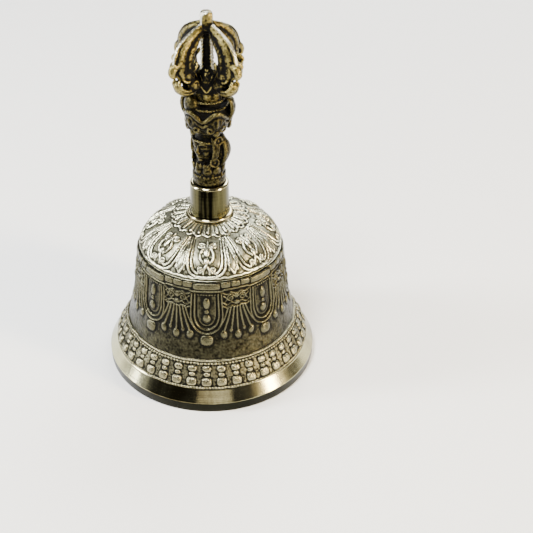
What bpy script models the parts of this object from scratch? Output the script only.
"""Temple hand bell with a half-vajra handle, standing on its rim.

Frame: the origin is the centre of the circle that the rim stands on, +Z runs up the
handle's axis and -Y is the side that the carved face half turns to. All sizes below
are millimetres; MM turns them into Blender's metres.

Pieces: a cast bell shell; a turned ferrule; the handle in two castings, the figure and
the four-pronged vajra; a threaded tie stud that pulls them together, with its washer
and nut under the crown; and a clapper that hangs from the stud's eye on a ring.
"""

import math

import bmesh
import bpy
from mathutils import Matrix, Vector

MM = 0.001
GAP = 0.3  # left between pieces that touch on the real bell
CUT_PAST = 1.0  # how far a cutter runs past the face that it opens

# Bell shell, outside: a short upright rim, a bevel, the bead band, the waist, the dome.
LIP_RADIUS = 45.0
RIM_HEIGHT = 4.5
BEVEL_INSET = 3.0
BEVEL_HEIGHT = 4.7
BAND_INSET = 5.8
BAND_HEIGHT = 11.2
FLARE_RADIUS = 33.1
FLARE_HEIGHT = 9.6  # above the bead band
WAIST_RADIUS = 31.5
WAIST_DROP = 27.2  # below the crown's top, as are the next four
SHOULDER_RADIUS = 30.0
SHOULDER_DROP = 15.2
BROW_RADIUS = 27.5
BROW_DROP = 9.2
DOME_RADIUS = 22.6
DOME_DROP = 4.9
CROWN_RADIUS = 16.0
CROWN_DROP = 1.7
BELL_HEIGHT = 69.2

# Bell shell, inside.
WALL = 2.8
LIP_WALL = 6.2
THROAT_WALL = 4.65  # at the bevel's top, where the inside turns up
CROWN_WALL = 3.2
FOOT_EDGE = 0.5

# Ferrule: a flanged sleeve with a floor, in which the handle's foot stands.
FLANGE_RADIUS = 9.3
FLANGE_HEIGHT = 1.5
FERRULE_BOTTOM_RADIUS = 8.3
FERRULE_TOP_RADIUS = 7.9
FERRULE_LENGTH = 15.2
FERRULE_BORE = 6.6
FERRULE_FLOOR = 2.6
FERRULE_CHAMFER = 0.9
FERRULE_FILLET = 0.6  # where the sleeve meets its flange
FLANGE_SLOPE = 0.4

# Handle, lower casting: foot ring, lotus, head and crown.
FOOT_RING_RADIUS = 6.9
FOOT_RING_HEIGHT = 4.6
FOOT_RING_FLAT = 1.6
LOTUS_RADIUS = 6.2
LOTUS_HEIGHT = 5.2
FOLD = 0.6  # step between one turned band and the next
HEAD_WIDTH = 11.0
HEAD_HEIGHT = 14.5
HEAD_TURN = math.radians(-34)  # the face looks a little to the left of -Y
HEAD_OUT = 1.2
NECK_RADIUS = 5.6
CROWN_BAND_RADIUS = 8.4
CROWN_BAND_HEIGHT = 10.0
CROWN_SLOPE = 2.0
LOBES = 4
EAR_TURN = math.radians(80)  # from the face's middle
EAR_DISC_RADIUS = 2.1
EAR_DISC_THICKNESS = 2.4
UPPER_DISC_RISE = 3.6  # above the head's middle
LOWER_DISC_DROP = 4.4  # below it
LOBE_RADIUS = 3.4

# Handle, upper casting: lotus socket, square centre prong, four outer prongs, knob.
VAJRA_BASE_RADIUS = 7.6
VAJRA_BASE_HEIGHT = 6.0
PRONGS = 4
PRONG_REACH = 16.0
PRONG_RISE = 23.3
PRONG_DEPTH = 5.8
PRONG_THICKNESS = 4.6
PRONG_TURN = math.radians(45)
SNOUT_RADIUS = 3.4
CENTRE_PRONG_SIDE = 4.2
BAR_SHY = 0.9  # how far the square bar ends below the prongs' meeting point
KNOB_RADIUS = 2.8
KNOB_EDGE = 0.8
KNOB_HEIGHT = 6.2
SPIGOT_RADIUS = 3.0
SPIGOT_LENGTH = 5.0

# Fastening: the stud is screwed into the figure, and its nut bears on the washer.
STUD_RADIUS = 3.0
STUD_GRIP = 14.0  # length of stud inside the figure
WASHER_RADIUS = 7.0
WASHER_THICKNESS = 1.0
NUT_FLATS = 10.0
NUT_HEIGHT = 5.0

# Clapper and the ring that it hangs on.
EYE_RADIUS = 4.2
EYE_HOLE = 2.1
EYE_THICKNESS = 2.6
NECK_UNDER_NUT = 1.4
RING_RADIUS = 5.0
RING_WIRE = 0.95
RING_SAG = 0.6  # how far a hole's centre lies from the wire that bears in it
CLAPPER_EYE_RADIUS = 3.7
CLAPPER_EYE_THICKNESS = 2.2
ROD_RADIUS = 1.6
BALL_RADIUS = 7.5
BALL_HEIGHT = 17.0
RIVET_RADIUS = 2.8
RIVET_HEIGHT = 1.2

# Heights that follow from the sizes above.
FERRULE_BASE = BELL_HEIGHT + GAP
FERRULE_TOP = FERRULE_BASE + FERRULE_LENGTH
FIGURE_BASE = FERRULE_BASE + FERRULE_FLOOR + GAP
LOTUS_BASE = FERRULE_TOP + FOOT_RING_HEIGHT
HEAD_BASE = LOTUS_BASE + LOTUS_HEIGHT
CROWN_BASE = HEAD_BASE + HEAD_HEIGHT
FIGURE_TOP = CROWN_BASE + CROWN_BAND_HEIGHT + LOBE_RADIUS
VAJRA_BASE = FIGURE_TOP + GAP
PRONG_BASE = VAJRA_BASE + VAJRA_BASE_HEIGHT / 2
PRONG_TOP = PRONG_BASE + PRONG_RISE
HANDLE_TOP = PRONG_TOP + KNOB_HEIGHT
CROWN_UNDERSIDE = BELL_HEIGHT - CROWN_WALL
WASHER_BASE = CROWN_UNDERSIDE - GAP - WASHER_THICKNESS
NUT_BASE = WASHER_BASE - GAP - NUT_HEIGHT
STUD_EYE = NUT_BASE - NECK_UNDER_NUT - EYE_RADIUS
RING_TOP = STUD_EYE - RING_SAG
RING_CENTRE = RING_TOP - RING_RADIUS
CLAPPER_EYE = RING_CENTRE - RING_RADIUS - RING_SAG
BALL_BORE = ROD_RADIUS + GAP
STUD_HOLE = STUD_RADIUS + GAP

BRASS_PALE = ((0.62, 0.55, 0.38), 0.34)
BRASS_POLISHED = ((0.70, 0.60, 0.36), 0.18)
BRASS_DARK = ((0.34, 0.26, 0.11), 0.42)
STEEL = ((0.52, 0.52, 0.50), 0.35)


def clear_scene():
    """Remove every object that the scene starts with."""
    for obj in list(bpy.data.objects):
        bpy.data.objects.remove(obj, do_unlink=True)


def new_collection(name):
    """Make a collection and link it to the scene."""
    collection = bpy.data.collections.new(name)
    bpy.context.scene.collection.children.link(collection)
    return collection


def metal(name, finish):
    """Make a metal material from a (colour, roughness) pair."""
    colour, roughness = finish
    material = bpy.data.materials.new(name)
    material.use_nodes = True
    shader = material.node_tree.nodes["Principled BSDF"]
    shader.inputs["Base Color"].default_value = (*colour, 1.0)
    shader.inputs["Metallic"].default_value = 1.0
    shader.inputs["Roughness"].default_value = roughness
    return material


def place(mesh, name, collection, finish=None):
    """Put a mesh into the scene as a smooth-shaded object of its own."""
    obj = bpy.data.objects.new(name, mesh)
    collection.objects.link(obj)
    if finish is not None:
        mesh.materials.append(metal(name, finish))
    return obj


def make_cutter(obj):
    """Keep a helper solid out of the render and draw it as wire."""
    obj.hide_render = True
    obj.display_type = "WIRE"
    return obj


def boolean(obj, other, operation):
    """Add a Boolean of obj with a helper solid. The manifold solver copes with prongs that meet edge to edge."""
    modifier = obj.modifiers.new(f"{operation.title()} {other.name}", "BOOLEAN")
    modifier.operation = operation
    modifier.solver = "MANIFOLD"
    modifier.object = make_cutter(other)


def smooth_run(points, per_span=4):
    """Catmull-Rom curve through (radius, height) points, ends included."""
    ends = [points[0], *points, points[-1]]
    run = []
    for p0, p1, p2, p3 in zip(ends, ends[1:], ends[2:], ends[3:]):
        for step in range(per_span):
            t = step / per_span
            run.append(
                tuple(
                    0.5 * (2 * b + (c - a) * t + (2 * a - 5 * b + 4 * c - d) * t**2 + (3 * b - a - 3 * c + d) * t**3)
                    for a, b, c, d in zip(p0, p1, p2, p3)
                )
            )
    return [*run, points[-1]]


def offset_inwards(run, distance):
    """Move each point of a run that goes down the outside towards the axis, along its normal."""
    moved = []
    for index, (radius, height) in enumerate(run):
        before = run[max(index - 1, 0)]
        after = run[min(index + 1, len(run) - 1)]
        along = Vector((after[0] - before[0], after[1] - before[1])).normalized()
        moved.append((radius + along.y * distance, height - along.x * distance))
    return moved


def arc(centre, radius, start, end, steps):
    """Points on a circle in the (radius, height) plane, angles in degrees from outwards."""
    angles = [math.radians(start + (end - start) * step / steps) for step in range(steps + 1)]
    return [(centre[0] + radius * math.cos(a), centre[1] + radius * math.sin(a)) for a in angles]


def turned(name, outline, collection, finish=None, steps=48, ring=False):
    """Spin an outline that runs down its outer side about Z. A ring's outline closes on itself."""
    mesh = bpy.data.meshes.new(name)
    edges = [(index, index + 1) for index in range(len(outline) - 1)]
    if ring:
        edges.append((len(outline) - 1, 0))
    mesh.from_pydata([(radius * MM, 0, height * MM) for radius, height in outline], edges, [])
    obj = place(mesh, name, collection, finish)
    screw = obj.modifiers.new("Turn", "SCREW")
    screw.axis = "Z"
    screw.steps = steps
    screw.render_steps = steps
    screw.use_merge_vertices = True
    screw.merge_threshold = 0.00001
    screw.use_smooth_shade = True
    return obj


def bmesh_object(name, builder, collection, finish=None):
    """Make an object from a function that fills a bmesh."""
    cage = bmesh.new()
    builder(cage)
    mesh = bpy.data.meshes.new(name)
    cage.to_mesh(mesh)
    cage.free()
    mesh.shade_smooth()
    mesh.set_sharp_from_angle(angle=math.radians(35))
    return place(mesh, name, collection, finish)


def cylinder(name, radius, length, centre, direction, collection, finish=None, segments=24):
    """A capped cylinder about a centre, lying along a direction."""
    turn = Vector((0, 0, 1)).rotation_difference(Vector(direction)).to_matrix().to_4x4()
    matrix = Matrix.Translation(Vector(centre) * MM) @ turn

    def fill(cage):
        bmesh.ops.create_cone(
            cage,
            cap_ends=True,
            segments=segments,
            radius1=radius * MM,
            radius2=radius * MM,
            depth=length * MM,
            matrix=matrix,
        )

    return bmesh_object(name, fill, collection, finish)


def ellipsoid(name, half_sizes, centre, turn, collection, segments=16, rings=10):
    """A sphere stretched to three half sizes, turned about Z by an angle."""
    matrix = Matrix.Translation(Vector(centre) * MM) @ Matrix.Rotation(turn, 4, "Z")
    matrix = matrix @ Matrix.Diagonal((*[size * MM for size in half_sizes], 1.0))

    def fill(cage):
        bmesh.ops.create_uvsphere(cage, u_segments=segments, v_segments=rings, radius=1.0, matrix=matrix)

    return bmesh_object(name, fill, collection)


def outward(radius, angle, height):
    """A point at a radius from the axis, in the direction of an angle measured from -Y towards +X."""
    return (radius * math.sin(angle), -radius * math.cos(angle), height)


def bell_outline():
    """Outside of the bell down to the rim, then its inside back up to the crown's hole."""
    bevel_top = RIM_HEIGHT + BEVEL_HEIGHT
    band_top = bevel_top + BAND_HEIGHT
    bevel_radius = LIP_RADIUS - BEVEL_INSET
    band_radius = bevel_radius - BAND_INSET
    dome = smooth_run(
        [
            (FLANGE_RADIUS + GAP, BELL_HEIGHT),
            (CROWN_RADIUS, BELL_HEIGHT - CROWN_DROP),
            (DOME_RADIUS, BELL_HEIGHT - DOME_DROP),
            (BROW_RADIUS, BELL_HEIGHT - BROW_DROP),
            (SHOULDER_RADIUS, BELL_HEIGHT - SHOULDER_DROP),
            (WAIST_RADIUS, BELL_HEIGHT - WAIST_DROP),
            (FLARE_RADIUS, band_top + FLARE_HEIGHT),
            (band_radius, band_top),
        ],
        per_span=3,
    )
    rim = [(bevel_radius, bevel_top), (LIP_RADIUS, RIM_HEIGHT), (LIP_RADIUS, FOOT_EDGE)]
    foot = [(LIP_RADIUS - FOOT_EDGE, 0), (LIP_RADIUS - LIP_WALL + FOOT_EDGE, 0)]
    inner_lip = (LIP_RADIUS - LIP_WALL, FOOT_EDGE)
    inside = [point for point in offset_inwards(dome, WALL) if point[1] < CROWN_UNDERSIDE - FOOT_EDGE]
    throat = smooth_run([inner_lip, (bevel_radius - THROAT_WALL, bevel_top), inside[-1]], per_span=3)
    seat = [(WASHER_RADIUS + 2 * GAP, CROWN_UNDERSIDE), (STUD_HOLE, CROWN_UNDERSIDE)]
    return [(STUD_HOLE, BELL_HEIGHT), *dome, *rim, *foot, *throat, *reversed(inside[:-1]), *seat]


def ferrule_outline():
    """Outside of the ferrule from its bored mouth down to the flange, then floor and bore."""
    top = FERRULE_TOP
    shoulder = FERRULE_BASE + FLANGE_HEIGHT
    bead = FLANGE_HEIGHT / 2
    return [
        (FERRULE_BORE, top),
        (FERRULE_TOP_RADIUS - FERRULE_CHAMFER, top),
        (FERRULE_TOP_RADIUS, top - FERRULE_CHAMFER),
        (FERRULE_BOTTOM_RADIUS, shoulder + FERRULE_FILLET),
        (FLANGE_RADIUS - FLANGE_SLOPE, shoulder),
        *arc((FLANGE_RADIUS - bead, FERRULE_BASE + bead), bead, 60, -60, 4),
        (FLANGE_RADIUS - 0.8 * bead, FERRULE_BASE),
        (STUD_HOLE, FERRULE_BASE),
        (STUD_HOLE, FERRULE_BASE + FERRULE_FLOOR),
        (FERRULE_BORE, FERRULE_BASE + FERRULE_FLOOR),
    ]


def figure_outline():
    """Core of the figure: crown, neck, lotus, foot ring and the spigot in the ferrule."""
    spigot = FERRULE_BORE - GAP
    ring_middle = FERRULE_TOP + FOOT_RING_HEIGHT / 2
    stud_end = FIGURE_BASE + STUD_GRIP + GAP
    return [
        (0, FIGURE_TOP),
        (CROWN_BAND_RADIUS * 0.8, FIGURE_TOP),
        (CROWN_BAND_RADIUS, FIGURE_TOP - CROWN_SLOPE),
        (CROWN_BAND_RADIUS, CROWN_BASE + LOBE_RADIUS),
        (NECK_RADIUS + FOLD, CROWN_BASE - FOLD),
        (NECK_RADIUS, HEAD_BASE + HEAD_HEIGHT / 2),
        (NECK_RADIUS, HEAD_BASE + FOLD),
        (LOTUS_RADIUS, HEAD_BASE - 2 * FOLD),
        (LOTUS_RADIUS, LOTUS_BASE + 2 * FOLD),
        (LOTUS_RADIUS - FOLD, LOTUS_BASE + GAP),
        (FOOT_RING_RADIUS - FOLD, LOTUS_BASE - GAP),
        (FOOT_RING_RADIUS, ring_middle + FOOT_RING_FLAT / 2),
        (FOOT_RING_RADIUS, ring_middle - FOOT_RING_FLAT / 2),
        (spigot, FERRULE_TOP + GAP),
        (spigot, FIGURE_BASE),
        (STUD_HOLE, FIGURE_BASE),
        (STUD_HOLE, stud_end),
        (0, stud_end),
    ]


def figure_socket():
    """The blind hole in the figure's top that takes the vajra's spigot, as a cutter outline."""
    radius = SPIGOT_RADIUS + GAP
    bottom = FIGURE_TOP - SPIGOT_LENGTH - GAP
    above = FIGURE_TOP + CUT_PAST
    return [(0, above), (radius, above), (radius, bottom), (0, bottom)]


def build_bell(parts):
    """The cast shell."""
    return turned("bell_shell", bell_outline(), parts, BRASS_PALE, steps=56, ring=True)


def build_ferrule(parts):
    """The polished sleeve between bell and handle."""
    return turned("ferrule", ferrule_outline(), parts, BRASS_POLISHED, steps=40, ring=True)


def build_figure(parts, cutters):
    """The lower handle casting: turned core, head, ear discs and crown lobes."""
    core = turned("figure_casting", figure_outline(), parts, BRASS_DARK, steps=32)
    head_middle = HEAD_BASE + HEAD_HEIGHT / 2
    head_size = (HEAD_WIDTH / 2, HEAD_WIDTH / 2, HEAD_HEIGHT / 2)
    head = ellipsoid("head_form", head_size, outward(HEAD_OUT, HEAD_TURN, head_middle), HEAD_TURN, cutters)
    boolean(core, head, "UNION")
    for side in (-1, 1):
        angle = HEAD_TURN + side * EAR_TURN
        for level, rise in (("upper", UPPER_DISC_RISE), ("lower", -LOWER_DISC_DROP)):
            centre = outward(NECK_RADIUS + FOLD, angle, head_middle + rise)
            name = f"ear_disc_{level}_{'left' if side < 0 else 'right'}"
            direction = (centre[0], centre[1], 0)
            disc = cylinder(name, EAR_DISC_RADIUS, EAR_DISC_THICKNESS, centre, direction, cutters, segments=16)
            boolean(core, disc, "UNION")
    for index in range(LOBES):
        angle = HEAD_TURN + math.tau * (index + 0.5) / LOBES
        centre = outward(CROWN_BAND_RADIUS - LOBE_RADIUS * 0.5, angle, CROWN_BASE + CROWN_BAND_HEIGHT * 0.7)
        sizes = (LOBE_RADIUS * 0.9, LOBE_RADIUS, LOBE_RADIUS * 1.25)
        lobe = ellipsoid(f"crown_lobe_{index + 1}", sizes, centre, angle, cutters, segments=12, rings=8)
        boolean(core, lobe, "UNION")
    boolean(core, turned("vajra_socket", figure_socket(), cutters, steps=24), "DIFFERENCE")
    return core


def prong_outline():
    """Crescent of one outer prong in the (outward, up) plane: outer edge up, inner edge down."""
    outer = smooth_run(
        [
            (VAJRA_BASE_RADIUS * 0.6, PRONG_BASE),
            (PRONG_REACH * 0.86, PRONG_BASE + PRONG_RISE * 0.16),
            (PRONG_REACH, PRONG_BASE + PRONG_RISE * 0.45),
            (PRONG_REACH * 0.74, PRONG_BASE + PRONG_RISE * 0.78),
            (KNOB_RADIUS * 0.7, PRONG_TOP),
        ]
    )
    inner = smooth_run(
        [
            (KNOB_RADIUS * 0.3, PRONG_TOP - PRONG_DEPTH * 0.5),
            (PRONG_REACH * 0.74 - PRONG_DEPTH * 0.8, PRONG_BASE + PRONG_RISE * 0.78 - PRONG_DEPTH * 0.6),
            (PRONG_REACH - PRONG_DEPTH, PRONG_BASE + PRONG_RISE * 0.45),
            (PRONG_REACH * 0.86 - PRONG_DEPTH, PRONG_BASE + PRONG_RISE * 0.28),
            (VAJRA_BASE_RADIUS * 0.3, PRONG_BASE + PRONG_DEPTH * 0.5),
        ]
    )
    return outer + inner


def build_prong(name, angle, cutters):
    """One outer prong: its crescent extruded to the prong's thickness and turned into place."""
    flat = bpy.data.curves.new(name, "CURVE")
    flat.dimensions = "2D"
    flat.fill_mode = "BOTH"
    flat.extrude = PRONG_THICKNESS / 2 * MM
    points = prong_outline()
    spline = flat.splines.new("POLY")
    spline.points.add(len(points) - 1)
    for point, (radius, height) in zip(spline.points, points):
        point.co = (radius * MM, height * MM, 0, 1)
    spline.use_cyclic_u = True
    curve = bpy.data.objects.new(name, flat)
    cutters.objects.link(curve)
    bpy.context.view_layer.update()
    mesh = bpy.data.meshes.new_from_object(curve.evaluated_get(bpy.context.evaluated_depsgraph_get()))
    bpy.data.objects.remove(curve, do_unlink=True)
    cage = bmesh.new()
    cage.from_mesh(mesh)
    bmesh.ops.remove_doubles(cage, verts=cage.verts, dist=0.00001)
    stand = Matrix.Rotation(angle, 4, "Z") @ Matrix.Rotation(math.pi / 2, 4, "X")
    bmesh.ops.transform(cage, matrix=stand, verts=cage.verts)
    bmesh.ops.recalc_face_normals(cage, faces=cage.faces)
    cage.to_mesh(mesh)
    cage.free()
    return place(mesh, name, cutters)


def build_vajra(parts, cutters):
    """The upper handle casting: lotus base and spigot, centre prong with knob, four outer prongs."""
    base_top = VAJRA_BASE + VAJRA_BASE_HEIGHT
    outline = [
        (0, HANDLE_TOP),
        (KNOB_RADIUS * 0.75, HANDLE_TOP),
        (KNOB_RADIUS, HANDLE_TOP - KNOB_EDGE),
        (KNOB_RADIUS * 0.95, PRONG_TOP + KNOB_EDGE),
        (KNOB_RADIUS * 0.6, PRONG_TOP - PRONG_DEPTH / 2),
        (CENTRE_PRONG_SIDE * 0.45, PRONG_TOP - PRONG_DEPTH),
        (CENTRE_PRONG_SIDE * 0.45, base_top),
        (VAJRA_BASE_RADIUS * 0.7, base_top - FOLD),
        (VAJRA_BASE_RADIUS, VAJRA_BASE + VAJRA_BASE_HEIGHT / 2),
        (VAJRA_BASE_RADIUS * 0.75, VAJRA_BASE),
        (SPIGOT_RADIUS, VAJRA_BASE),
        (SPIGOT_RADIUS, VAJRA_BASE - SPIGOT_LENGTH),
        (0, VAJRA_BASE - SPIGOT_LENGTH),
    ]
    core = turned("vajra_casting", outline, parts, BRASS_DARK, steps=24)

    def square_bar(cage):
        bottom = VAJRA_BASE + VAJRA_BASE_HEIGHT / 4
        top = PRONG_TOP - BAR_SHY
        length = top - bottom
        middle = (top + bottom) / 2
        size = Matrix.Diagonal((CENTRE_PRONG_SIDE * MM, CENTRE_PRONG_SIDE * MM, length * MM, 1))
        bmesh.ops.create_cube(cage, size=1, matrix=Matrix.Translation((0, 0, middle * MM)) @ size)

    boolean(core, bmesh_object("centre_prong_bar", square_bar, cutters), "UNION")
    for index in range(PRONGS):
        angle = PRONG_TURN + math.tau * index / PRONGS
        boolean(core, build_prong(f"outer_prong_{index + 1}", angle, cutters), "UNION")
        level = PRONG_BASE + PRONG_RISE * 0.22
        centre = outward(PRONG_REACH - SNOUT_RADIUS, angle, level)
        sizes = (SNOUT_RADIUS * 0.8, SNOUT_RADIUS, SNOUT_RADIUS)
        snout = ellipsoid(f"snout_{index + 1}", sizes, centre, angle, cutters, segments=12, rings=8)
        boolean(core, snout, "UNION")
    return core


def build_stud(parts, cutters):
    """The threaded rod that ties handle, ferrule and bell together, ending in an eye."""
    length = FIGURE_BASE + STUD_GRIP - STUD_EYE
    middle = (0, 0, STUD_EYE + length / 2)
    stud = cylinder("tie_stud", STUD_RADIUS, length, middle, (0, 0, 1), parts, STEEL)
    plate = cylinder("stud_eye_plate", EYE_RADIUS, EYE_THICKNESS, (0, 0, STUD_EYE), (1, 0, 0), cutters)
    boolean(stud, plate, "UNION")
    flank_size = 3 * EYE_RADIUS
    for side in (-1, 1):
        offset = side * (EYE_THICKNESS / 2 + flank_size / 2)
        matrix = Matrix.Translation((offset * MM, 0, (STUD_EYE - EYE_RADIUS / 2) * MM))
        size = Matrix.Diagonal((flank_size * MM, flank_size * MM, flank_size * MM, 1))

        def flank(cage, matrix=matrix, size=size):
            bmesh.ops.create_cube(cage, size=1, matrix=matrix @ size)

        boolean(stud, bmesh_object(f"eye_flat_{side + 2}", flank, cutters), "DIFFERENCE")
    hole = cylinder("stud_eye_hole", EYE_HOLE, 4 * EYE_RADIUS, (0, 0, STUD_EYE), (1, 0, 0), cutters)
    boolean(stud, hole, "DIFFERENCE")
    return stud


def build_washer(parts):
    """The plain washer under the crown."""
    top = WASHER_BASE + WASHER_THICKNESS
    outline = [(STUD_HOLE, top), (WASHER_RADIUS, top), (WASHER_RADIUS, WASHER_BASE), (STUD_HOLE, WASHER_BASE)]
    return turned("crown_washer", outline, parts, STEEL, steps=32, ring=True)


def build_nut(parts, cutters):
    """The hexagon nut on the stud."""
    middle = (0, 0, NUT_BASE + NUT_HEIGHT / 2)
    across_corners = NUT_FLATS / math.cos(math.pi / 6)
    nut = cylinder("crown_nut", across_corners / 2, NUT_HEIGHT, middle, (0, 0, 1), parts, STEEL, segments=6)
    bore = cylinder("nut_bore", STUD_HOLE, 2 * NUT_HEIGHT, middle, (0, 0, 1), cutters)
    boolean(nut, bore, "DIFFERENCE")
    return nut


def build_ring(parts):
    """The closed wire ring, with its origin on the axis that it swings about."""
    bpy.ops.mesh.primitive_torus_add(
        major_segments=32,
        minor_segments=10,
        major_radius=RING_RADIUS * MM,
        minor_radius=RING_WIRE * MM,
        rotation=(math.pi / 2, 0, 0),
    )
    ring = bpy.context.object
    ring.name = "clapper_ring"
    ring.data.name = "clapper_ring"
    ring.data.transform(Matrix.Translation((0, 0, -RING_RADIUS * MM)) @ ring.matrix_world)
    ring.matrix_world = Matrix.Translation((0, 0, RING_TOP * MM))
    ring.data.materials.append(metal("clapper_ring", STEEL))
    ring.data.shade_smooth()
    for collection in list(ring.users_collection):
        collection.objects.unlink(ring)
    parts.objects.link(ring)
    return ring


def build_rod(parts, cutters):
    """The clapper's rod: an eye on the ring, a shaft through the ball and a riveted end."""
    rivet_top = BALL_HEIGHT - BALL_RADIUS - GAP
    outline = [
        (0, CLAPPER_EYE),
        (ROD_RADIUS, CLAPPER_EYE),
        (ROD_RADIUS, rivet_top),
        (RIVET_RADIUS, rivet_top),
        (RIVET_RADIUS * 0.8, rivet_top - RIVET_HEIGHT),
        (0, rivet_top - RIVET_HEIGHT),
    ]
    rod = turned("clapper_rod", outline, parts, STEEL, steps=20)
    centre = (0, 0, CLAPPER_EYE)
    plate = cylinder("rod_eye_plate", CLAPPER_EYE_RADIUS, CLAPPER_EYE_THICKNESS, centre, (1, 0, 0), cutters)
    boolean(rod, plate, "UNION")
    hole = cylinder("rod_eye_hole", EYE_HOLE, 4 * CLAPPER_EYE_RADIUS, centre, (1, 0, 0), cutters)
    boolean(rod, hole, "DIFFERENCE")
    return rod


def build_ball(parts):
    """The clapper's ball, bored for the rod."""
    lean = math.degrees(math.acos(BALL_BORE / BALL_RADIUS))
    outline = arc((0, BALL_HEIGHT), BALL_RADIUS, lean, -lean, 14)
    return turned("clapper_ball", outline, parts, BRASS_PALE, steps=28, ring=True)


def hang(name, height, pieces, collection):
    """Parent pieces to an empty on a joint's axis, leaving them where they are."""
    pivot = bpy.data.objects.new(name, None)
    pivot.location = (0, 0, height * MM)
    collection.objects.link(pivot)
    bpy.context.view_layer.update()
    for piece in pieces:
        piece.parent = pivot
        piece.matrix_parent_inverse = pivot.matrix_world.inverted()
    return pivot


def main():
    """Build the bell."""
    clear_scene()
    parts = new_collection("temple_hand_bell")
    cutters = new_collection("cutters")
    build_bell(parts)
    build_ferrule(parts)
    build_figure(parts, cutters)
    build_vajra(parts, cutters)
    build_stud(parts, cutters)
    build_washer(parts)
    build_nut(parts, cutters)
    build_ring(parts)
    rod = build_rod(parts, cutters)
    ball = build_ball(parts)
    hang("clapper_pivot", RING_CENTRE, [rod, ball], parts)


main()
